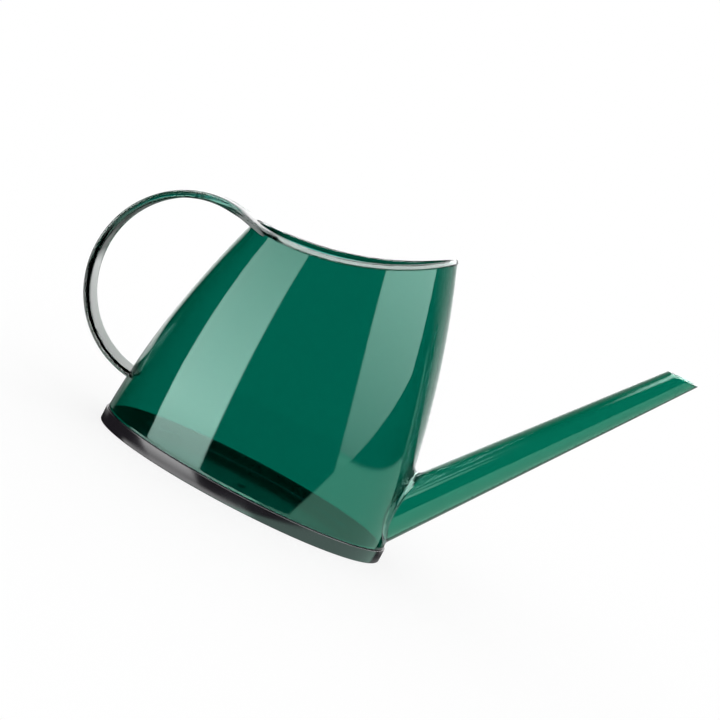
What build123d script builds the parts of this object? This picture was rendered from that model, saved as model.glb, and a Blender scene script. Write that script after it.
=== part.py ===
from build123d import *
import math
import os

# Watering can with a tapering oval body, a saddle-shaped mouth, a looped strap handle at the
# back and a long straight spout at the front.
# Frame: origin at the centre of the underside, +X towards the spout, +Z up.
# All sizes are in millimetres.

# Body: oval sections that shrink towards the top, with convex sides
BASE_LENGTH = 180.0
BASE_WIDTH = 99.0
TOP_LENGTH = 100.0  # oval at the height of the lip
TOP_WIDTH = 53.0
SIDE_SWELL = 0.78  # 0 gives straight sides, 1 gives sides that start upright
SHELL_WALL = 2.4
LOFT_SECTIONS = 8

# Mouth: one circular arc in side view, from the low back up to the lip at the front
BACK_HEIGHT = 141.6
MIDDLE_HEIGHT = 149.6
LIP_HEIGHT = 175.2
BEAD_HEIGHT = 3.2
BEAD_PROUD = 0.6  # the bead stands out from the wall by this much, outside and inside

# Base: a dish with a floor, a low wall and a shallow recess underneath
BASE_HEIGHT = 8.1
BASE_WALL = 4.1
FLOOR_TOP = 2.0
FOOT_WIDTH = 4.0
FOOT_RECESS = 0.5
BASE_EDGE = 0.6
GATE_DIAMETER = 5.0  # moulding gate nub at the centre of the floor
GATE_HEIGHT = 1.0

# Seam between the base and the shell
SEAM_THICKNESS = 0.5
SHELL_INSET = 0.5  # the shell's foot stands back from the edge of the base by this much
SEAM_INSET = 0.4  # the seam stands back from the shell's faces by this much

# Spout: a straight tapering tube that ends level with the lip
SPOUT_ANGLE = 52.9  # degrees above level
TIP_BELOW_LIP = 1.1
ROOT_DIAMETER = 28.3
ROOT_GAP = 2.0  # from the shell's foot up to the lowest point of the root
TIP_DIAMETER = 15.1
SPOUT_WALL = 1.8
JOINT_RING_WIDTH = 1.2  # bonding ring round the root, along the wall
JOINT_RING_DEPTH = 2.2  # and along the spout

# Handle: a strap bent in an oval loop, a wide flange outside and a narrower web inside
HANDLE_FOOT = 28.4  # lowest point of the loop
HANDLE_CREST = 3.0  # rise of the loop's highest point over the back of the mouth
LOOP_DEPTH = 111.7  # front-to-back diameter of the loop
LOOP_SETBACK = 1.9  # the loop's centre stands behind the back wall by this much
STRAP_WIDTH = 22.0
FLANGE_THICKNESS = 2.1
WEB_THICKNESS = 1.8
WEB_INSET = 1.5  # the web's sides stand back from the flange's edges by this much
ROOT_LENGTH = 24.0  # straight run from the end of the loop to inside the mouth
ROOT_DROP = 5.8  # fall of the web's inner face over that run
ROOT_ANGLE = 77.0  # where the loop ends, from level, seen from the side
FLARE_LENGTH = 31.0  # the strap starts to widen this far behind the mouth
FLARE_RADIUS = 88.0
FLARE_ANGLE = 30.0

# Sizes that follow from the ones above
shell_foot = BASE_HEIGHT + SEAM_THICKNESS
body_top = LIP_HEIGHT + 2 * BEAD_HEIGHT
handle_thickness = FLANGE_THICKNESS + WEB_THICKNESS
reach = 2 * (BASE_LENGTH + LOOP_DEPTH)  # long enough to cut right across the can


def shrink(z):
    """Share of the way from the base's oval to the lip's oval at height z."""
    t = z / LIP_HEIGHT
    return (1 - SIDE_SWELL) * t + SIDE_SWELL * t * t


def half_length(z):
    return (BASE_LENGTH - (BASE_LENGTH - TOP_LENGTH) * shrink(z)) / 2


def half_width(z):
    return (BASE_WIDTH - (BASE_WIDTH - TOP_WIDTH) * shrink(z)) / 2


def oval(length_radius, width_radius, z):
    return Pos(0, 0, z) * Ellipse(length_radius, width_radius)


def tapered_oval(offset):
    """Solid of the body's outer shape, from the ground to over the lip, grown by offset."""
    heights = [body_top * i / (LOFT_SECTIONS - 1) for i in range(LOFT_SECTIONS)]
    return loft([oval(half_length(z) + offset, half_width(z) + offset, z) for z in heights])


def across(profile):
    """Solid of a side-view profile carried right across the can, along Y."""
    return extrude(Plane.XZ * profile, amount=reach / 2, both=True)


# The mouth's arc, through the top of the bead at the back, the middle and the lip
mouth = ThreePointArc(
    (-half_length(BACK_HEIGHT), BACK_HEIGHT),
    (0, MIDDLE_HEIGHT),
    (half_length(LIP_HEIGHT), LIP_HEIGHT),
)


def above_mouth(drop):
    """Everything above the mouth's arc, lowered by drop."""
    centre = mouth.arc_center
    return across(Pos(centre.X, centre.Y) * Circle(mouth.radius + drop))


# Spout axis, from the middle of its root to the middle of its tip
slope = math.radians(SPOUT_ANGLE)
root_height = shell_foot + ROOT_GAP + ROOT_DIAMETER / 2 / math.cos(slope)
spout_rise = LIP_HEIGHT - TIP_BELOW_LIP - root_height
root = Vector(half_length(root_height), 0, root_height)
tip = root + Vector(spout_rise / math.tan(slope), 0, spout_rise)
spout_plane = Plane(origin=root, x_dir=(0, 1, 0), z_dir=tip - root)
spout_length = (tip - root).length
spout_taper = (ROOT_DIAMETER - TIP_DIAMETER) / 2 / spout_length


def spout_cone(offset):
    """Solid cone along the spout, inside the body at one end and past the tip at the other."""
    inside = 1.2 * ROOT_DIAMETER / 2 * math.tan(slope)
    past = TIP_DIAMETER
    sizes = [ROOT_DIAMETER / 2 + offset + spout_taper * inside,
             ROOT_DIAMETER / 2 + offset - spout_taper * (spout_length + past)]
    profile = Polyline((0, -inside), (sizes[0], -inside),
                       (sizes[1], spout_length + past), (0, spout_length + past), close=True)
    cone = revolve(Plane.XZ * make_face(profile), Axis.Z)
    return spout_plane.location * cone


def make_base():
    length, width = BASE_LENGTH / 2, BASE_WIDTH / 2
    dish = extrude(oval(length, width, 0), BASE_HEIGHT)
    dish = chamfer(dish.edges().group_by(Axis.Z)[0], BASE_EDGE)
    dish -= extrude(oval(length - BASE_WALL, width - BASE_WALL, FLOOR_TOP), BASE_HEIGHT)
    recess = oval(length - BASE_EDGE - FOOT_WIDTH, width - BASE_EDGE - FOOT_WIDTH, 0)
    dish -= extrude(recess, FOOT_RECESS)
    return dish + Pos(0, 0, FLOOR_TOP) * extrude(Circle(GATE_DIAMETER / 2), GATE_HEIGHT)


def make_base_seam():
    length = half_length(shell_foot) - SHELL_INSET - SEAM_INSET
    width = half_width(shell_foot) - SHELL_INSET - SEAM_INSET
    depth = SHELL_WALL - 2 * SEAM_INSET
    outside = extrude(oval(length, width, BASE_HEIGHT), SEAM_THICKNESS)
    return outside - extrude(oval(length - depth, width - depth, BASE_HEIGHT), SEAM_THICKNESS)


def make_shell(outside):
    below = extrude(Rectangle(reach, reach), shell_foot)
    wall = outside - tapered_oval(-SHELL_INSET - SHELL_WALL) - below
    return wall - above_mouth(BEAD_HEIGHT) - spout_cone(-SPOUT_WALL)


def make_rim_bead():
    outer = tapered_oval(BEAD_PROUD - SHELL_INSET)
    inner = tapered_oval(-SHELL_INSET - SHELL_WALL - BEAD_PROUD)
    return (outer - inner) & (above_mouth(BEAD_HEIGHT) - above_mouth(0))


def make_spout(outside):
    above_tip = Pos(0, 0, tip.Z) * extrude(Rectangle(reach, reach), reach)
    return spout_cone(0) - spout_cone(-SPOUT_WALL) - outside - above_tip


def make_joint_ring(outside):
    near_wall = tapered_oval(JOINT_RING_DEPTH - SHELL_INSET)
    return (spout_cone(JOINT_RING_WIDTH) & near_wall) - spout_cone(0) - outside


# The handle's loop, seen from the side: an ellipse that ends at ROOT_ANGLE
loop_height = BACK_HEIGHT + HANDLE_CREST - HANDLE_FOOT
loop_middle = HANDLE_FOOT + loop_height / 2
loop_centre = (-half_length(loop_middle) - LOOP_SETBACK, loop_middle)


def loop_line(inset, end_drop, end_slope):
    """Side-view line of the strap, inset from its outer face: its two ends and its edges."""
    loop = EllipticalCenterArc(loop_centre, LOOP_DEPTH / 2 - inset, loop_height / 2 - inset,
                               ROOT_ANGLE, arc_size=360 - 2 * ROOT_ANGLE)
    start, heading = loop @ 0, loop % 0
    end = (start.X + ROOT_LENGTH, BACK_HEIGHT - end_drop)
    root_line = Spline(start, end, tangents=[-heading, (1, -end_slope)])
    return loop @ 1, end, loop.edges() + root_line.edges()


def strap_band(outer, inner):
    """Side-view face between two of the strap's lines."""
    ends = [Line(outer[i], inner[i]) for i in (0, 1)]
    return make_face(outer[2] + inner[2] + ends)


def strap_plan(inset):
    """Top-view outline of the strap: straight at the back, then flaring to meet the mouth."""
    far, edge = -reach / 2, STRAP_WIDTH / 2 - inset
    side = Line((far, edge), (-half_length(BACK_HEIGHT) - FLARE_LENGTH, edge))
    flare = JernArc(side @ 1, (1, 0), FLARE_RADIUS, FLARE_ANGLE)
    close = Polyline(flare @ 1, ((flare @ 1).X, 0), (far, 0), side @ 0)
    half = make_face(side.edges() + flare.edges() + close.edges())
    return extrude(half + mirror(half, Plane.XZ), reach)


def make_handle(outside):
    fall = ROOT_DROP / ROOT_LENGTH
    outer = loop_line(0, 0, 0)
    middle = loop_line(FLANGE_THICKNESS, BEAD_HEIGHT, fall / 2)
    inner = loop_line(handle_thickness, handle_thickness + BEAD_HEIGHT, fall)
    beyond = loop_line(2 * handle_thickness, 2 * handle_thickness + BEAD_HEIGHT, fall)
    strap = across(strap_band(outer, inner)) & strap_plan(0)
    beside_web = across(strap_band(middle, beyond)) - strap_plan(WEB_INSET)
    mouth_block = tapered_oval(BEAD_PROUD - SHELL_INSET) & above_mouth(BEAD_HEIGHT)
    return strap - beside_web - mouth_block - outside


def main():
    outside = tapered_oval(-SHELL_INSET)
    nodes = {
        "base": make_base(),
        "base_seam": make_base_seam(),
        "body_shell": make_shell(outside),
        "rim_bead": make_rim_bead(),
        "handle": make_handle(outside),
        "spout": make_spout(outside),
        "spout_joint_ring": make_joint_ring(outside),
    }
    os.makedirs("parts", exist_ok=True)
    for name, solid in nodes.items():
        print(name, len(solid.solids()), round(solid.volume))
        export_step(solid, f"parts/{name}.step")


main()
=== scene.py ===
import math

import bmesh
import bpy
from mathutils import Matrix, Vector


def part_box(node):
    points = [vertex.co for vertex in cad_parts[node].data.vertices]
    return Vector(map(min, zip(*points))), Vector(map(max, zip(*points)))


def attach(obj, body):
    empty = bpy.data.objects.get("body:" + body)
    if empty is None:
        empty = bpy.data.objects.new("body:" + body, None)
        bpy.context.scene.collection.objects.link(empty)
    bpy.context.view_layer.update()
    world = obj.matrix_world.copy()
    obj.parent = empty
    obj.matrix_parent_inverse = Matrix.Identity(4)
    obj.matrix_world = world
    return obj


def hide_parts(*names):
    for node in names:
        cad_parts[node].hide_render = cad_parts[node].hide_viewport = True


# A clear green watering can in a white studio. Every length is in metres, in the CAD's frame:
# the origin is at the centre of the underside, +X points towards the spout and +Z is up.

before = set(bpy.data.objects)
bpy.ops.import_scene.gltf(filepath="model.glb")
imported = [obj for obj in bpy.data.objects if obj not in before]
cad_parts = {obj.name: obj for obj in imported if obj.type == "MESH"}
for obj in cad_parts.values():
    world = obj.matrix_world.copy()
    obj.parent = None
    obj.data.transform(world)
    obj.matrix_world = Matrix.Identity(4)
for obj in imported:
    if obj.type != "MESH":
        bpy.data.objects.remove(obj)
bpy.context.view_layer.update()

MM = 0.001
GAP = 0.02 * MM  # between two clear pieces that touch, so that their faces never coincide

# Body: an oval that shrinks towards the top, with convex sides
base_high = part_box("base")[1]
BASE_LENGTH_RADIUS = base_high.x
BASE_WIDTH_RADIUS = base_high.y
BASE_HEIGHT = base_high.z
LIP_HEIGHT = 175.2 * MM
LIP_LENGTH_RADIUS = 50.0 * MM
LIP_WIDTH_RADIUS = 26.5 * MM
SIDE_SWELL = 0.78  # 0 gives straight sides, 1 gives sides that start upright
WALL = 2.4 * MM
SHELL_INSET = 0.5 * MM
SHELL_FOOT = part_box("body_shell")[0].z
FOOT_ROUNDING = 0.25 * MM

# Mouth: one arc in side view, from the back up to the lip
BACK_HEIGHT = 141.6 * MM
MIDDLE_HEIGHT = 149.6 * MM
BEAD_HEIGHT = 3.2 * MM
BEAD_PROUD = 0.6 * MM
BEAD_TOP_ROUNDING = 1.0 * MM
BEAD_FOOT_ROUNDING = 0.8 * MM
BEAD_LEAN = 24  # degrees by which its outer face leans in towards its top
BEAD_SLOPE = math.tan(math.radians(BEAD_LEAN))
BEAD_NARROWS = BEAD_SLOPE * (BEAD_HEIGHT - BEAD_FOOT_ROUNDING - BEAD_TOP_ROUNDING)

# Base dish
BASE_WALL = 4.1 * MM
FLOOR_TOP = 2.0 * MM
FOOT_WIDTH = 4.0 * MM
FOOT_RECESS = 0.5 * MM
FOOT_STEP = ((-0.2 * MM, 1.0), (0.0, 0.6), (0.1 * MM, 0.0))  # outwards, share of the recess
BASE_EDGE = 0.6 * MM
BASE_LIP_ROUNDING = 0.3 * MM
FLOOR_FILLET = 1.0 * MM
GATE_RADIUS = 2.5 * MM
GATE_HEIGHT = 1.0 * MM
GATE_DRAFT = 0.1 * MM  # its side narrows by this
GATE_ROUNDING = 0.2 * MM  # and its top edge by this again

# Dark seam line between the base and the shell
SEAM_NARROWER = 0.8 * MM  # than the shell's wall
SEAM_WAIST = 0.05 * MM

# Spout
SPOUT_SLOPE = math.radians(52.9)
ROOT_RADIUS = 14.15 * MM
TIP_RADIUS = 7.55 * MM
TIP_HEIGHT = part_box("spout")[1].z
SPOUT_WALL = 1.8 * MM
ROOT_GAP = 2.0 * MM
TIP_ROUNDING = 0.35 * MM
FILLET_TOP = 8.5 * MM  # reach of the bonding fillet along the wall, over the spout
FILLET_BOTTOM = 1.1 * MM  # and under it, where the base is near
FILLET_ALONG = 0.9  # its reach along the spout, as a share of that along the wall

# Handle
HANDLE_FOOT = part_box("handle")[0].z
HANDLE_TOP = 144.6 * MM
LOOP_DEPTH = 111.7 * MM
LOOP_SETBACK = 1.9 * MM
LOOP_END = math.radians(77.0)  # from level, where the loop runs into its roots
STRAP_HALF_WIDTH = 11.0 * MM
STRAP_CROWN = 0.4 * MM
FLANGE = 2.1 * MM
WEB = 1.8 * MM
WEB_INSET = 1.5 * MM
STRAP_EDGE_ROUNDING = 0.8 * MM
STRAP_INNER_ROUNDING = 0.5 * MM
SIDE_LEAN = 11  # degrees by which the strap's sides lean away from where they meet
SIDE_DRAFT = math.tan(math.radians(SIDE_LEAN))
ROOT_LENGTH = 24.0 * MM
ROOT_FALL = 5.8 / 24.0
FLARE_LENGTH = 31.0 * MM
FLARE_RADIUS = 88.0 * MM

# How finely the pieces are divided
BODY_COLUMNS, BODY_ROWS = 320, 90
BEAD_COLUMNS = 360
UNDERSIDE_RINGS = (0.1, 0.5, 0.95)  # shares of the way from the gate mark to the wall
FLOOR_RINGS = (0.95, 0.6, 0.3, 0.1)
SPOUT_COLUMNS, SPOUT_ROWS = 160, 120
BORE_COLUMNS = 128
FILLET_COLUMNS, FILLET_STEPS = 200, 10
STRAP_ROWS = 260
CROWN_STEPS, INNER_STEPS = 8, 4
ARC_MIDDLE = 0.3  # where the middle of a rounding lies, as a share of its radius
SHARP_ANGLE = 35  # degrees between two faces from which their edge shows
MOUTH_PASSES = 24
HALVINGS = 40


# ---------------------------------------------------------------- shapes that pieces share

def shrink(z):
    """How far the oval has shrunk at this height: 0 at the underside and 1 at the lip."""
    t = z / LIP_HEIGHT
    return (1 - SIDE_SWELL) * t + SIDE_SWELL * t * t


def half_length(z):
    return BASE_LENGTH_RADIUS + (LIP_LENGTH_RADIUS - BASE_LENGTH_RADIUS) * shrink(z)


def half_width(z):
    return BASE_WIDTH_RADIUS + (LIP_WIDTH_RADIUS - BASE_WIDTH_RADIUS) * shrink(z)


def outside_oval(x, y, z, offset):
    """Above 0 outside the body's oval at this height, grown by offset, and under 0 inside it."""
    return (x / (half_length(z) + offset)) ** 2 + (y / (half_width(z) + offset)) ** 2 - 1


def arc_centre_and_radius(p, q, r):
    """Circle through three points (x, z)."""
    (ax, az), (bx, bz), (cx, cz) = p, q, r
    d = 2 * (ax * (bz - cz) + bx * (cz - az) + cx * (az - bz))
    pa, pb, pc = ax * ax + az * az, bx * bx + bz * bz, cx * cx + cz * cz
    x = (pa * (bz - cz) + pb * (cz - az) + pc * (az - bz)) / d
    z = (pa * (cx - bx) + pb * (ax - cx) + pc * (bx - ax)) / d
    return x, z, math.hypot(ax - x, az - z)


MOUTH_X, MOUTH_Z, MOUTH_RADIUS = arc_centre_and_radius(
    (-half_length(BACK_HEIGHT), BACK_HEIGHT),
    (0, MIDDLE_HEIGHT),
    (half_length(LIP_HEIGHT), LIP_HEIGHT),
)


def mouth_height(x, drop):
    """Height of the mouth's arc at x, lowered by drop square to the arc."""
    return MOUTH_Z - math.sqrt((MOUTH_RADIUS + drop) ** 2 - (x - MOUTH_X) ** 2)


def on_mouth(angle, offset, drop):
    """Point where the body's oval, grown by offset, meets the mouth's arc, lowered by drop."""
    z = MIDDLE_HEIGHT
    for _ in range(MOUTH_PASSES):
        x = (half_length(z) + offset) * math.cos(angle)
        z = mouth_height(x, drop)
    return Vector((x, (half_width(z) + offset) * math.sin(angle), z))


def on_wall(angle, offset, z):
    """Point of the body's oval at this height, grown by offset."""
    return Vector(((half_length(z) + offset) * math.cos(angle),
                   (half_width(z) + offset) * math.sin(angle), z))


def crossing(before, after, test):
    """Value between before and after at which test turns positive."""
    for _ in range(HALVINGS):
        middle = (before + after) / 2
        if test(middle) > 0:
            after = middle
        else:
            before = middle
    return (before + after) / 2


def corner(centre, radius, start, end, steps):
    """Points of a circular arc in a section, from start to end degrees."""
    turns = [math.radians(start + (end - start) * i / steps) for i in range(steps + 1)]
    return [(centre[0] + radius * math.cos(t), centre[1] + radius * math.sin(t)) for t in turns]


def spread(count):
    """Evenly spaced numbers from 0 to 1."""
    return [i / (count - 1) for i in range(count)]


def angles(count):
    """Evenly spaced angles once round."""
    return [2 * math.pi * i / count for i in range(count)]


# ---------------------------------------------------------------- meshes

def skin(name, rings, closed, sharp=SHARP_ANGLE, caps=False):
    """Smooth mesh through rings of points. closed joins the last ring to the first."""
    mesh = bpy.data.meshes.new(name)
    work = bmesh.new()
    rows = [[work.verts.new(p) for p in ring] for ring in rings]
    pairs = list(zip(rows, rows[1:])) + ([(rows[-1], rows[0])] if closed else [])
    for a, b in pairs:
        count = len(a)
        for i in range(count):
            j = (i + 1) % count
            work.faces.new((a[i], a[j], b[j], b[i]))
    if caps:
        work.faces.new(rows[0])
        work.faces.new(list(reversed(rows[-1])))
    bmesh.ops.recalc_face_normals(work, faces=work.faces)
    work.to_mesh(mesh)
    work.free()
    return finished(name, mesh, sharp)


def finished(name, mesh, sharp):
    """Object of a smooth-shaded mesh, with its sharp edges marked."""
    mesh.shade_smooth()
    mesh.set_sharp_from_angle(angle=math.radians(sharp))
    piece = bpy.data.objects.new(name, mesh)
    bpy.context.scene.collection.objects.link(piece)
    return piece


def place(piece, node, material):
    """Gives a piece its material and lets it stand for its CAD node."""
    piece.data.materials.clear()
    piece.data.materials.append(material)
    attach(piece, "root")
    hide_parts(node)


def cut(piece, cutter):
    """The piece less the cutter, with the cutter thrown away."""
    modifier = piece.modifiers.new("cut", "BOOLEAN")
    modifier.operation = "DIFFERENCE"
    modifier.solver = "EXACT"
    modifier.object = cutter
    seen = piece.evaluated_get(bpy.context.evaluated_depsgraph_get())
    mesh = bpy.data.meshes.new_from_object(seen)
    name, old = piece.name, piece.data
    bpy.data.objects.remove(piece)
    bpy.data.objects.remove(cutter)
    bpy.data.meshes.remove(old)
    mesh.name = name
    return finished(name, mesh, SHARP_ANGLE)


# ---------------------------------------------------------------- body, rim and base

def make_shell():
    """One wall of even thickness, open at the foot and at the mouth, with the spout's hole."""
    columns = angles(BODY_COLUMNS)
    outer, inner = -SHELL_INSET, -SHELL_INSET - WALL
    foot, rounding = SHELL_FOOT + GAP, FOOT_ROUNDING
    middle = ARC_MIDDLE * rounding

    def ring(offset, share, lift=0.0):
        points = []
        for a in columns:
            top = on_mouth(a, offset, BEAD_HEIGHT + GAP).z
            low = foot + lift
            points.append(on_wall(a, offset, low + (top - low) * share))
        return points

    rings = [ring(outer, s, rounding) for s in spread(BODY_ROWS)]
    rings += [ring(inner, s, rounding) for s in reversed(spread(BODY_ROWS))]
    rings += [ring(inner + middle, 0, middle), ring(inner + rounding, 0)]
    rings += [ring(outer - rounding, 0), ring(outer - middle, 0, middle)]
    shell = skin("body_shell_clear", rings, closed=True)
    past_wall = 2 * ROOT_RADIUS
    around = angles(BORE_COLUMNS)
    bore = [[spout_point(a, s, -SPOUT_WALL) for a in around] for s in (-past_wall, past_wall)]
    return cut(shell, skin("bore", bore, closed=False, caps=True))


def make_rim_bead():
    """Rounded bead that runs round the mouth. Its outer face leans in towards its top."""
    outer, inner = BEAD_PROUD - SHELL_INSET, -SHELL_INSET - WALL - BEAD_PROUD
    top, low = BEAD_TOP_ROUNDING, BEAD_FOOT_ROUNDING
    section = corner((outer - BEAD_NARROWS - top, top), top, -BEAD_LEAN, -90, 8)
    section += corner((inner + top, top), top, -90, -180, 8)
    section += corner((inner + low, BEAD_HEIGHT - low), low, 180, 90, 4)
    section += corner((outer - low, BEAD_HEIGHT - low), low, 90, -BEAD_LEAN, 6)
    rings = []
    for a in angles(BEAD_COLUMNS):
        rings.append([on_mouth(a, offset, drop) for offset, drop in section])
    return skin("rim_bead_rounded", rings, closed=True, sharp=60)


def make_base():
    """Dish with a floor, a rounded edge, a foot round the underside and a gate mark."""
    edge, lip = BASE_EDGE, BASE_LIP_ROUNDING
    wall, fillet = -BASE_WALL, FLOOR_FILLET
    foot = -edge - FOOT_WIDTH
    section = [(foot + outwards, share * FOOT_RECESS) for outwards, share in FOOT_STEP]
    section += corner((-edge, edge), edge, -90, 0, 6)
    section += corner((-lip, BASE_HEIGHT - lip), lip, 0, 90, 4)
    section += corner((wall + lip, BASE_HEIGHT - lip), lip, 90, 180, 4)
    section += corner((wall - fillet, FLOOR_TOP + fillet), fillet, 0, -90, 6)
    columns = angles(BODY_COLUMNS)

    def oval(length_radius, width_radius, z):
        return [Vector((length_radius * math.cos(a), width_radius * math.sin(a), z))
                for a in columns]

    def ring(offset, z):
        return oval(BASE_LENGTH_RADIUS + offset, BASE_WIDTH_RADIUS + offset, z)

    def inner_ring(share, z):
        wide = BASE_LENGTH_RADIUS + wall - 2 * fillet
        deep = BASE_WIDTH_RADIUS + wall - 2 * fillet
        gate = GATE_RADIUS
        return oval(gate + (wide - gate) * share, gate + (deep - gate) * share, z)

    def gate_ring(radius, z):
        return oval(radius, radius, z)

    side = GATE_RADIUS - GATE_DRAFT
    top = FLOOR_TOP + GATE_HEIGHT
    rings = [inner_ring(share, FOOT_RECESS) for share in UNDERSIDE_RINGS]
    rings += [ring(offset, z) for offset, z in section]
    rings += [inner_ring(share, FLOOR_TOP) for share in FLOOR_RINGS]
    rings += [gate_ring(GATE_RADIUS, FLOOR_TOP), gate_ring(side, top - GATE_ROUNDING)]
    rings += [gate_ring(side - GATE_ROUNDING, top)]
    return skin("base_dish", rings, closed=False, caps=True)


def make_base_seam():
    """Thin dark ring between the base and the shell."""
    low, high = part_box("base_seam")
    columns = angles(BODY_COLUMNS)
    depth = WALL - SEAM_NARROWER

    def ring(inset, z):
        return [Vector(((high.x - inset) * math.cos(a), (high.y - inset) * math.sin(a), z))
                for a in columns]

    bottom, top = low.z + GAP, high.z
    middle = (bottom + top) / 2
    rings = [ring(0, bottom), ring(-SEAM_WAIST, middle), ring(0, top)]
    rings += [ring(depth, top), ring(depth + SEAM_WAIST, middle), ring(depth, bottom)]
    return skin("base_seam_dark_line", rings, closed=True, sharp=50)


# ---------------------------------------------------------------- spout

ROOT_HEIGHT = SHELL_FOOT + ROOT_GAP + ROOT_RADIUS / math.cos(SPOUT_SLOPE)
SPOUT_ROOT = Vector((half_length(ROOT_HEIGHT), 0, ROOT_HEIGHT))
SPOUT_AXIS = Vector((math.cos(SPOUT_SLOPE), 0, math.sin(SPOUT_SLOPE)))
SPOUT_LENGTH = (TIP_HEIGHT - ROOT_HEIGHT) / math.sin(SPOUT_SLOPE)
SPOUT_TAPER = (ROOT_RADIUS - TIP_RADIUS) / SPOUT_LENGTH
SPOUT_UP = Vector((-math.sin(SPOUT_SLOPE), 0, math.cos(SPOUT_SLOPE)))


def spout_point(angle, along, offset):
    """Point of the spout's cone, grown by offset. Angle 0 is the top side."""
    radius = ROOT_RADIUS + offset - SPOUT_TAPER * along
    across = SPOUT_UP * math.cos(angle) + Vector((0, 1, 0)) * math.sin(angle)
    return SPOUT_ROOT + SPOUT_AXIS * along + across * radius


def leaves_wall(angle, offset, clear):
    """How far along the spout this line of the cone comes out of the body's wall."""
    def outside(along):
        p = spout_point(angle, along, offset)
        return outside_oval(p.x, p.y, p.z, clear - SHELL_INSET)
    return crossing(-3 * ROOT_RADIUS, 3 * ROOT_RADIUS, outside)


def reaches_tip(angle, offset, height):
    low, high = SPOUT_LENGTH / 2, 2 * SPOUT_LENGTH
    return crossing(low, high, lambda s: spout_point(angle, s, offset).z - height)


def make_spout():
    """Tapering tube that is cut level at the tip, with a softened edge."""
    columns = angles(SPOUT_COLUMNS)

    def line(angle, offset, height, share):
        start = leaves_wall(angle, offset, GAP)
        end = reaches_tip(angle, offset, height)
        return spout_point(angle, start + (end - start) * share, offset)

    def ring(offset, drop, share):
        return [line(a, offset, TIP_HEIGHT - drop, share) for a in columns]

    r, inner = TIP_ROUNDING, -SPOUT_WALL
    middle = ARC_MIDDLE * r
    rings = [ring(0, r, share) for share in spread(SPOUT_ROWS)]
    rings += [ring(-middle, middle, 1), ring(-r, 0, 1)]
    rings += [ring(inner + r, 0, 1), ring(inner + middle, middle, 1)]
    rings += [ring(inner, r, share) for share in reversed(spread(SPOUT_ROWS))]
    return skin("spout_tube", rings, closed=True)


def make_spout_fillet():
    """Concave bonding fillet where the spout leaves the wall, wider over the spout than under."""
    rings = []
    for angle in angles(FILLET_COLUMNS):
        reach = FILLET_BOTTOM + (FILLET_TOP - FILLET_BOTTOM) * (0.5 + 0.5 * math.cos(angle)) ** 2
        start = leaves_wall(angle, GAP, 2 * GAP)
        heel = spout_point(angle, start, GAP)
        on_spout = spout_point(angle, start + FILLET_ALONG * reach, GAP)
        on_shell = spout_point(angle, leaves_wall(angle, reach, 2 * GAP), reach)
        ring = []
        for t in spread(FILLET_STEPS):
            ring.append(on_spout * (1 - t) ** 2 + heel * 2 * t * (1 - t) + on_shell * t ** 2)
        rings.append(ring + [heel])
    return skin("spout_fillet", rings, closed=True, sharp=50)


# ---------------------------------------------------------------- handle

LOOP_X = -half_length((HANDLE_FOOT + HANDLE_TOP) / 2) - LOOP_SETBACK
LOOP_Z = (HANDLE_FOOT + HANDLE_TOP) / 2
LOOP_TURN = 2 * (math.pi - LOOP_END)
ROOT_HEADING_STEP = 0.001  # radians of the loop that give the root its first direction
AT_A_SIDE = 0.99  # share of the strap's half width from which a point belongs to its side

# Places along the strap, as strap_point takes them
LOOP_START, LOOP_MIDDLE, ROOT_START, ROOT_NEAR_END = 0.0, 0.5, 1.0, 1.99


def on_loop(angle, depth):
    """Point of the loop in side view, at this depth under the strap's outer face."""
    return Vector((LOOP_X + (LOOP_DEPTH / 2 - depth) * math.cos(angle),
                   LOOP_Z + ((HANDLE_TOP - HANDLE_FOOT) / 2 - depth) * math.sin(angle)))


def root_drop(depth):
    """Fall of a line of the strap under the mouth's back edge, where its root ends."""
    if depth < FLANGE:
        return BEAD_HEIGHT * depth / FLANGE
    return BEAD_HEIGHT + (FLANGE + WEB) * (depth - FLANGE) / WEB


def on_root(share, depth):
    """Point of the strap's upper root, a smooth curve from the loop to the mouth."""
    start, step = on_loop(LOOP_END, depth), ROOT_HEADING_STEP
    heading = (start - on_loop(LOOP_END + step, depth)).normalized()
    end = Vector((start.x + ROOT_LENGTH, BACK_HEIGHT - root_drop(depth)))
    reach = (end - start).length
    slope = ROOT_FALL * min(1.0, depth / (FLANGE + WEB))
    leave, arrive = heading * reach, Vector((1, -slope)).normalized() * reach
    t = share
    return (start * (2 * t**3 - 3 * t**2 + 1) + leave * (t**3 - 2 * t**2 + t)
            + end * (3 * t**2 - 2 * t**3) + arrive * (t**3 - t**2))


def strap_half_width(x):
    """Half the strap's width, which flares in an arc towards the mouth."""
    into_flare = max(0.0, x + half_length(BACK_HEIGHT) + FLARE_LENGTH)
    return STRAP_HALF_WIDTH + FLARE_RADIUS - math.sqrt(FLARE_RADIUS**2 - into_flare**2)


def strap_point(along, depth, centred, inset):
    """Point of the strap. along is 0 at the lower end of the loop, 1 at its upper end and 2 at
    the end of the root; centred is 0 in the middle and 1 or -1 at a side."""
    if along < 1:
        flat = on_loop(LOOP_END + LOOP_TURN * (1 - along), depth)
    else:
        flat = on_root(along - 1, depth)
    side = math.copysign(1, centred)
    y = centred * strap_half_width(flat.x) - (side * inset if abs(centred) > AT_A_SIDE else 0)
    return Vector((flat.x, y, flat.y))


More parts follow.
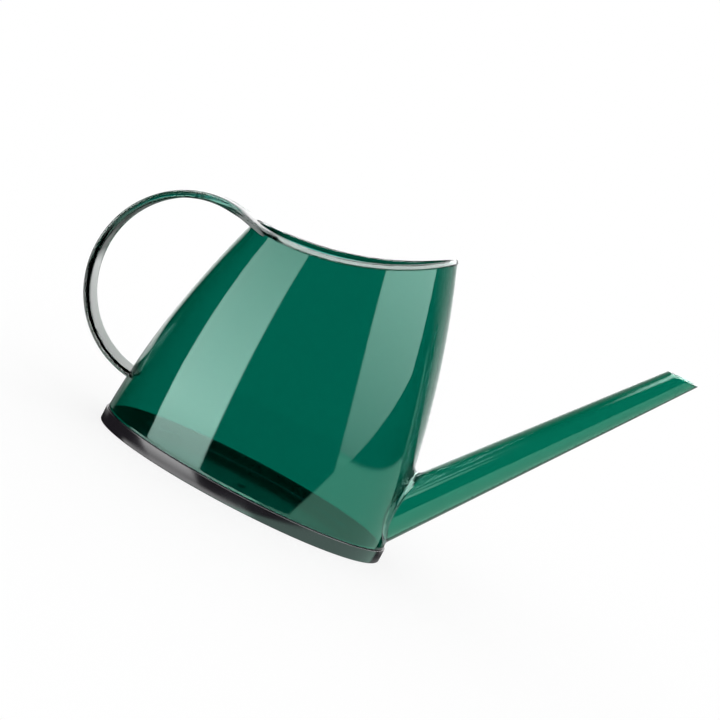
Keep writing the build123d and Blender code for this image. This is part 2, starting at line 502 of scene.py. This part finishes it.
def strap_section():
    """Half of the section, from the middle of the outer face round to the middle of the inner
    one, as (depth, centred, inset): a crowned flange over a narrower web."""
    crown, top, low = STRAP_CROWN, STRAP_EDGE_ROUNDING, STRAP_INNER_ROUNDING
    half = [(crown * (f / CROWN_STEPS) ** 2, f / CROWN_STEPS, 0.0) for f in range(CROWN_STEPS)]
    lean = SIDE_DRAFT * (FLANGE - low - crown - top)
    edge = corner((0, crown + top), top, -90, -SIDE_LEAN, 6)
    half += [(d, 1.0, lean + top - x) for x, d in edge]
    edge = corner((0, FLANGE - low), low, -SIDE_LEAN, 90, 5)
    half += [(d, 1.0, low - x) for x, d in edge]
    half += [(FLANGE, 1.0, WEB_INSET)]
    lean = WEB_INSET + SIDE_DRAFT * (WEB - low)
    edge = corner((0, FLANGE + WEB - low), low, SIDE_LEAN, 90, 5)
    half += [(d, 1.0, lean + low - x) for x, d in edge]
    half += [(FLANGE + WEB, f / INNER_STEPS, 0.0) for f in range(INNER_STEPS - 1, 0, -1)]
    return half


def meets_body(point):
    """Above 0 outside the body: the bead above the shell's top, and the shell under it."""
    above = point.z - mouth_height(point.x, BEAD_HEIGHT)
    offset = -SHELL_INSET
    if above > 0:
        offset += BEAD_PROUD - BEAD_SLOPE * max(0.0, above - BEAD_FOOT_ROUNDING)
    return outside_oval(point.x, point.y, point.z, offset + GAP)


def make_handle():
    """Strap bent in an oval loop, whose upper root flares to meet the mouth."""
    half = strap_section()
    section = half + [(FLANGE + WEB, 0.0, 0.0)]
    section += [(d, -c, i) for d, c, i in reversed(half) if c > 0]
    lines = []
    for place_in_section in section:
        def clear_of_body(along):
            return meets_body(strap_point(along, *place_in_section))
        low = crossing(LOOP_MIDDLE, LOOP_START, lambda s: -clear_of_body(s))
        high = crossing(ROOT_NEAR_END, ROOT_START, clear_of_body)
        lines.append((low, high))
    rings = []
    for t in spread(STRAP_ROWS):
        ring = []
        for place_in_section, (low, high) in zip(section, lines):
            ring.append(strap_point(low + (high - low) * t, *place_in_section))
        rings.append(ring)
    return skin("handle_strap", rings, closed=False, caps=True, sharp=40)


# ---------------------------------------------------------------- materials

CLEAR_IOR = 1.57
GREEN_TINT = (0.62, 1.0, 0.88)  # of reflections in the large pieces
PALE_TINT = (0.9, 1.0, 0.97)  # and in the rim and the handle

# Absorption per metre of plastic, set piece by piece until each looks right
SHELL_DENSITY = 1630
RIM_DENSITY = 3500
HANDLE_DENSITY = 2600
SPOUT_DENSITY = 1870
FILLET_DENSITY = 1750

# Shares of that absorption which green and blue light escape; red escapes none
GREEN_ESCAPES = 0.736
BLUE_ESCAPES = 0.68
BLUE_ESCAPES_SPOUT = 0.66

# Roughness and base colour, each from a low to a high value of its noise
CLEAR_ROUGHNESS = 0.005, 0.03
CLEAR_COLOURS = (0.955, 0.985, 0.975), (1.0, 1.0, 1.0)
SMOKE_ROUGHNESS = 0.1, 0.2
SMOKE_COLOURS = (0.008, 0.007, 0.009), (0.018, 0.016, 0.02)
SMOKE_IOR, SMOKE_SPECULAR = 1.55, 0.42
SEAM_LINE_ROUGHNESS = 0.2, 0.4
SEAM_LINE_COLOURS = (0.0, 0.012, 0.01), (0.0, 0.03, 0.024)

# Heights of the faint ripples
SHELL_RIPPLE = 0.02 * MM
SMALL_RIPPLE = 0.01 * MM
RIM_RIPPLE = 0.004 * MM
BASE_RIPPLE = 0.004 * MM

# Noise scales, in periods per metre, and what most of a noise lies between
FLOW_SCALE, FINE_SCALE = 18, 260
HAZE_SCALE, MOULD_SCALE = 35, 900
SEAM_LINE_SCALE = 400
NOISE_LOW, NOISE_HIGH = 0.3, 0.7

# Sockets of a Mix node in colour mode
MIX_FACTOR, MIX_DARK, MIX_LIGHT, MIX_RESULT = 0, 6, 7, 2


def noise(tree, scale, detail, stretch=(1, 1, 1)):
    """Noise over the piece's own coordinates, in periods per metre, drawn out by stretch."""
    where = tree.nodes.new("ShaderNodeTexCoord")
    mapping = tree.nodes.new("ShaderNodeMapping")
    mapping.inputs["Scale"].default_value = stretch
    pattern = tree.nodes.new("ShaderNodeTexNoise")
    pattern.inputs["Scale"].default_value = scale
    pattern.inputs["Detail"].default_value = detail
    tree.links.new(where.outputs["Object"], mapping.inputs["Vector"])
    tree.links.new(mapping.outputs["Vector"], pattern.inputs["Vector"])
    return pattern.outputs["Fac"]


def ranged(tree, value, low, high):
    """The noise's value, brought into a range."""
    node = tree.nodes.new("ShaderNodeMapRange")
    node.inputs["From Min"].default_value = NOISE_LOW
    node.inputs["From Max"].default_value = NOISE_HIGH
    node.inputs["To Min"].default_value = low
    node.inputs["To Max"].default_value = high
    tree.links.new(value, node.inputs["Value"])
    return node.outputs["Result"]


def blended(tree, value, dark, light):
    """Colour that goes from dark at 0 to light at 1."""
    node = tree.nodes.new("ShaderNodeMix")
    node.data_type = "RGBA"
    node.inputs[MIX_DARK].default_value = (*dark, 1)
    node.inputs[MIX_LIGHT].default_value = (*light, 1)
    tree.links.new(value, node.inputs[MIX_FACTOR])
    return node.outputs[MIX_RESULT]


def bumped(tree, value, distance):
    """Normal of a surface whose ripples are this high."""
    node = tree.nodes.new("ShaderNodeBump")
    node.inputs["Distance"].default_value = distance
    tree.links.new(value, node.inputs["Height"])
    return node.outputs["Normal"]


def new_material(name):
    """New material with its node tree, shader and output."""
    material = bpy.data.materials.new(name)
    material.use_nodes = True
    tree = material.node_tree
    return material, tree, tree.nodes["Principled BSDF"], tree.nodes["Material Output"]


def clear_plastic(name, density, ripple, tint=GREEN_TINT, stretch=(1, 1, 1), blue=BLUE_ESCAPES):
    """Clear green polystyrene: glossy, coloured by its depth, with faint flow ripples."""
    material, tree, shader, output = new_material(name)
    shader.inputs["Transmission Weight"].default_value = 1
    shader.inputs["IOR"].default_value = CLEAR_IOR
    shader.inputs["Specular Tint"].default_value = (*tint, 1)
    flow = noise(tree, FLOW_SCALE, 2, stretch)
    fine = noise(tree, FINE_SCALE, 3)
    colour = blended(tree, flow, *CLEAR_COLOURS)
    tree.links.new(colour, shader.inputs["Base Color"])
    tree.links.new(ranged(tree, fine, *CLEAR_ROUGHNESS), shader.inputs["Roughness"])
    tree.links.new(bumped(tree, flow, ripple), shader.inputs["Normal"])
    depth = tree.nodes.new("ShaderNodeVolumeAbsorption")
    depth.inputs["Color"].default_value = (0.0, GREEN_ESCAPES, blue, 1)
    depth.inputs["Density"].default_value = density
    tree.links.new(depth.outputs["Volume"], output.inputs["Volume"])
    return material


def smoke_plastic():
    """Near-black smoky plastic of the base, with a soft gloss and faint moulding haze."""
    material, tree, shader, _ = new_material("base_smoke")
    haze = noise(tree, HAZE_SCALE, 4)
    fine = noise(tree, MOULD_SCALE, 2)
    shader.inputs["IOR"].default_value = SMOKE_IOR
    shader.inputs["Specular IOR Level"].default_value = SMOKE_SPECULAR
    colour = blended(tree, haze, *SMOKE_COLOURS)
    tree.links.new(colour, shader.inputs["Base Color"])
    tree.links.new(ranged(tree, haze, *SMOKE_ROUGHNESS), shader.inputs["Roughness"])
    tree.links.new(bumped(tree, fine, BASE_RIPPLE), shader.inputs["Normal"])
    return material


def dark_seam_line():
    """Dark green line under the shell, where it meets the base."""
    material, tree, shader, _ = new_material("seam_dark_line")
    grain = noise(tree, SEAM_LINE_SCALE, 2)
    colour = blended(tree, grain, *SEAM_LINE_COLOURS)
    tree.links.new(colour, shader.inputs["Base Color"])
    tree.links.new(ranged(tree, grain, *SEAM_LINE_ROUGHNESS), shader.inputs["Roughness"])
    return material


# ---------------------------------------------------------------- studio

class Number:
    """A number worked out by shader nodes, so that a formula reads as one."""

    def __init__(self, tree, socket):
        self.tree, self.socket = tree, socket

    def math(self, operation, *others):
        node = self.tree.nodes.new("ShaderNodeMath")
        node.operation = operation
        for slot, value in zip(node.inputs, (self, *others)):
            if isinstance(value, Number):
                self.tree.links.new(value.socket, slot)
            else:
                slot.default_value = value
        return Number(self.tree, node.outputs[0])

    def __add__(self, other):
        return self.math("ADD", other)

    def __sub__(self, other):
        return self.math("SUBTRACT", other)

    def __rsub__(self, other):
        return self * -1 + other

    def __mul__(self, other):
        return self.math("MULTIPLY", other)

    def __truediv__(self, other):
        return self.math("DIVIDE", other)

    def least(self, other):
        return self.math("MINIMUM", other)

    def most(self, other):
        return self.math("MAXIMUM", other)

    def held(self, low, high):
        """The number, kept between low and high."""
        return self.least(high).most(low)

    def past(self, blur):
        """0 where the number is under -blur and 1 where it is over blur, with a soft step."""
        node = self.tree.nodes.new("ShaderNodeMapRange")
        node.interpolation_type = "SMOOTHSTEP"
        node.inputs["From Min"].default_value = -blur
        node.inputs["From Max"].default_value = blur
        self.tree.links.new(self.socket, node.inputs["Value"])
        return Number(self.tree, node.outputs["Result"])


WHITE = 1.0  # the world's strength wherever it isn't mirrored

# What glossy surfaces mirror. Azimuths, elevations and blurs are in degrees, and a pair that goes
# to sloped() is a value at the horizon and its change per degree upwards.
LEFT_BOX_EDGES = (-61.5, -0.75), (-23.5, -0.36)
LEFT_BOX_LIGHT = (7.2, -0.21), (9.4, 0.45)  # the lesser counts
RIGHT_EDGE = (34, -0.8), (39.7, 1.85)  # the lesser counts
RIGHT_BOX_FAR_EDGE, RIGHT_BOX_END = (43, 2.4), 70
RIGHT_BOX_LIGHT = (1.7, 0.17)
RIGHT_BOX_FOOT, BOX_TOP = -0.5, 24
BOX_BLUR = 0.8

TABLE_TINT = (0.6, 1.0, 0.84)
TABLE_EDGE, TABLE_MIDDLE, TABLE_CURVE = -0.3, 43, 0.0006
TABLE_FAR_EDGE, TABLE_END = (100, -3), 120
TABLE_LIGHT_STEEP, TABLE_LIGHT_GAINED = 0.4, 1.6  # dimmer where it is seen from straight above
TABLE_STEEP, TABLE_FADE = -55, 8
SLIT_ACROSS, SLIT_UP = (98.5, 101.5, 0.8), (1, 13, 2)
SLIT_LIGHT = 1.4

BACKDROP_RIGHT, BACKDROP_RIGHT_BLUR = (121, -1.5), (2, 0.9)
BACKDROP_LEFT, BACKDROP_LEFT_BLUR = (133.5, -0.5), (3, 0.6)
BACKDROP_LEFT_STEP, LEFT_STEP_TOP = 16, -3.2
RIGHT_BLUR_LEAST, LEFT_BLUR_LEAST = 3, 6
BACKDROP_LIGHT, BACKDROP_LIGHT_RANGE = (1.97, -0.04), (0.7, 1.65)
BACKDROP_FADE, BACKDROP_FADE_RANGE = (2.4, 0.25), (0.25, 1)
BACKDROP_FOOT = -11.5
LOW_BACKDROP, LOW_BACKDROP_TOP, LOW_BACKDROP_LIGHT = (118, 175, 3), -14, 0.5

# Patches of light, as their extent across and up, each with its blur, and their strength
LOW_LAMP = (-51.3, -48.7, 0.8), (26, 31.5, 1.2), 6
HIGH_LAMP = (-88, -82, 1.0), (42.5, 45.5, 0.6), 2
FLOOR_LIGHT = (-75, 8, 3), (-45, -17, 2), 4
CEILING_FOOT, CEILING_TOP, CEILING_SLANT, CEILING_LIGHT = 28, 64, -0.2, 10
OVERHEAD_LIGHT = 1.2


def sloped(value, line):
    """Straight line in a value: what it is at 0, and its change per unit."""
    start, change = line
    return value * change + start


def between(value, low, high, blur):
    """1 where the value lies between low and high, and 0 elsewhere, with soft steps."""
    return (value - low).past(blur) * (high - value).past(blur)


def patch(azimuth, elevation, across, up, light):
    """Soft-edged rectangle of light."""
    return between(azimuth, *across) * between(elevation, *up) * light


def right_edge(elevation):
    """Azimuth of the near edge that the right softbox and the table under it share."""
    low, high = RIGHT_EDGE
    return sloped(elevation, low).least(sloped(elevation, high))


def softboxes(azimuth, elevation):
    """Two tall softboxes. The left one is brightest near its foot, the right one at its top."""
    outer, inner = (sloped(elevation, line) for line in LEFT_BOX_EDGES)
    left = between(azimuth, outer, inner, BOX_BLUR)
    fall, rise = (sloped(elevation, line) for line in LEFT_BOX_LIGHT)
    left_light = fall.least(rise).most(0)
    far = sloped(elevation, RIGHT_BOX_FAR_EDGE).least(RIGHT_BOX_END)
    right = between(azimuth, right_edge(elevation), far, BOX_BLUR)
    right_light = sloped(elevation, RIGHT_BOX_LIGHT) * (elevation - RIGHT_BOX_FOOT).past(1.0)
    under_top = (BOX_TOP - elevation).past(1.0)
    return (left * left_light + right * right_light) * under_top


def table(azimuth, elevation):
    """Table low on the right, under a gently curved edge, and a thin bright slit above it."""
    swing = azimuth - TABLE_MIDDLE
    edge = swing * swing * TABLE_CURVE + TABLE_EDGE
    far = sloped(elevation, TABLE_FAR_EDGE).least(TABLE_END)
    top = between(azimuth, right_edge(elevation), far, 1.0)
    slit = between(azimuth + elevation, *SLIT_ACROSS) * between(elevation, *SLIT_UP)
    gained = (elevation - TABLE_STEEP).past(TABLE_FADE)
    light = gained * TABLE_LIGHT_GAINED + TABLE_LIGHT_STEEP
    return top * (edge - elevation).past(0.5) * light + slit * SLIT_LIGHT


def backdrop(azimuth, elevation):
    """White backdrop behind the can, which its limbs mirror."""
    right_blur = sloped(elevation, BACKDROP_RIGHT_BLUR).most(RIGHT_BLUR_LEAST)
    right = (azimuth - sloped(elevation, BACKDROP_RIGHT)) / right_blur
    step = (LEFT_STEP_TOP - elevation).past(0.8) * BACKDROP_LEFT_STEP
    left_blur = sloped(elevation, BACKDROP_LEFT_BLUR).most(LEFT_BLUR_LEAST)
    left = (azimuth * -1 - (sloped(elevation, BACKDROP_LEFT) - step)) / left_blur
    light = sloped(elevation, BACKDROP_LIGHT).held(*BACKDROP_LIGHT_RANGE)
    fade = sloped(elevation, BACKDROP_FADE).held(*BACKDROP_FADE_RANGE)
    light = light * fade * (elevation - BACKDROP_FOOT).past(1.5)
    low = between(azimuth, *LOW_BACKDROP) * (LOW_BACKDROP_TOP - elevation).past(2)
    return (right.past(1) + left.past(1)) * light + low * LOW_BACKDROP_LIGHT


def lamps(azimuth, elevation):
    """Two thin lamps high on the left, the bright ceiling with a dimmer middle overhead, and
    light from the floor in front."""
    ceiling_foot = (azimuth * CEILING_SLANT).most(0) + CEILING_FOOT
    ceiling = between(elevation, ceiling_foot, CEILING_TOP, 2)
    overhead = (elevation - CEILING_TOP).past(4)
    light = patch(azimuth, elevation, *LOW_LAMP) + patch(azimuth, elevation, *HIGH_LAMP)
    light = light + ceiling * CEILING_LIGHT + patch(azimuth, elevation, *FLOOR_LIGHT)
    return light + overhead * OVERHEAD_LIGHT


def directions(tree):
    """Azimuth, from -Y towards +X, and elevation of where a ray looks, in degrees."""
    where = tree.nodes.new("ShaderNodeTexCoord")
    parts = tree.nodes.new("ShaderNodeSeparateXYZ")
    tree.links.new(where.outputs["Generated"], parts.inputs["Vector"])
    x, y, z = (Number(tree, socket) for socket in parts.outputs)
    azimuth = x.math("ARCTAN2", y * -1) * math.degrees(1)
    elevation = z.math("ARCSINE") * math.degrees(1)
    return azimuth, elevation


def make_world():
    """White all round for the eye and through clear plastic. Only glossy surfaces mirror the
    studio, whose table is tinted."""
    world = bpy.data.worlds.new("studio")
    bpy.context.scene.world = world
    world.use_nodes = True
    tree = world.node_tree
    background = tree.nodes["Background"]
    path = tree.nodes.new("ShaderNodeLightPath")
    diffuse = Number(tree, path.outputs["Is Diffuse Ray"])
    mirrored = Number(tree, path.outputs["Is Reflection Ray"]) * (1 - diffuse)
    azimuth, elevation = directions(tree)
    on_table = table(azimuth, elevation)
    studio = softboxes(azimuth, elevation) + backdrop(azimuth, elevation)
    studio = studio + lamps(azimuth, elevation) + on_table
    strength = studio * mirrored + (1 - mirrored) * WHITE
    tinted = (on_table * 10).least(1) * mirrored
    colour = blended(tree, tinted.socket, (1, 1, 1), TABLE_TINT)
    tree.links.new(colour, background.inputs["Color"])
    tree.links.new(strength.socket, background.inputs["Strength"])


# ---------------------------------------------------------------- floor and camera

FLOOR_REACH = 6.0
FLOOR_REFLECTANCE = 0.25  # the rest of its white is its own light

LENS = 78.4
SENSOR = 36
CAMERA_PLACE = Vector((0.03286, -0.88395, 0.21276))
CAMERA_NUDGE = Vector((-0.00012, 0.0005, 0))  # across and up the picture
CAMERA_YAW, CAMERA_PITCH, CAMERA_ROLL = 0.359, -7.392, 27.634


def make_floor():
    """Plain pale floor, bright enough to meet the white backdrop without an edge."""
    far = FLOOR_REACH
    corners = ((-far, -far), (far, -far), (far, far), (-far, far))
    mesh = bpy.data.meshes.new("floor")
    work = bmesh.new()
    work.faces.new([work.verts.new((x, y, -GAP)) for x, y in corners])
    work.to_mesh(mesh)
    work.free()
    floor = bpy.data.objects.new("floor", mesh)
    bpy.context.scene.collection.objects.link(floor)
    material, _, shader, _ = new_material("floor_white")
    grey = FLOOR_REFLECTANCE
    shader.inputs["Base Color"].default_value = (grey, grey, grey, 1)
    shader.inputs["Specular IOR Level"].default_value = 0
    shader.inputs["Roughness"].default_value = 1
    shader.inputs["Emission Color"].default_value = (1, 1, 1, 1)
    shader.inputs["Emission Strength"].default_value = WHITE - grey
    mesh.materials.append(material)
    floor.visible_glossy = False


def make_camera():
    """The can hangs tilted in the picture, so the camera is rolled instead."""
    camera = bpy.data.objects.new("camera", bpy.data.cameras.new("camera"))
    bpy.context.scene.collection.objects.link(camera)
    camera.data.sensor_width = SENSOR
    camera.data.lens = LENS
    yaw = Matrix.Rotation(math.radians(CAMERA_YAW), 4, "Z")
    pitch = Matrix.Rotation(math.radians(90 + CAMERA_PITCH), 4, "X")
    roll = Matrix.Rotation(math.radians(CAMERA_ROLL), 4, "Z")
    rotation = yaw @ pitch @ roll
    place_in_room = CAMERA_PLACE + rotation @ CAMERA_NUDGE
    camera.matrix_world = Matrix.Translation(place_in_room) @ rotation
    bpy.context.scene.camera = camera


def main():
    make_camera()
    make_world()
    make_floor()
    bpy.context.scene.view_settings.view_transform = "Standard"
    shell = clear_plastic("shell_green", SHELL_DENSITY, SHELL_RIPPLE, stretch=(1, 1, 0.35))
    rim = clear_plastic("rim_green", RIM_DENSITY, RIM_RIPPLE, tint=PALE_TINT)
    handle = clear_plastic("handle_green", HANDLE_DENSITY, SMALL_RIPPLE, tint=PALE_TINT)
    spout = clear_plastic("spout_green", SPOUT_DENSITY, SMALL_RIPPLE, blue=BLUE_ESCAPES_SPOUT)
    fillet = clear_plastic("fillet_green", FILLET_DENSITY, SMALL_RIPPLE)
    place(make_shell(), "body_shell", shell)
    place(make_rim_bead(), "rim_bead", rim)
    place(make_base(), "base", smoke_plastic())
    place(make_base_seam(), "base_seam", dark_seam_line())
    place(make_spout(), "spout", spout)
    place(make_spout_fillet(), "spout_joint_ring", fillet)
    place(make_handle(), "handle", handle)


main()
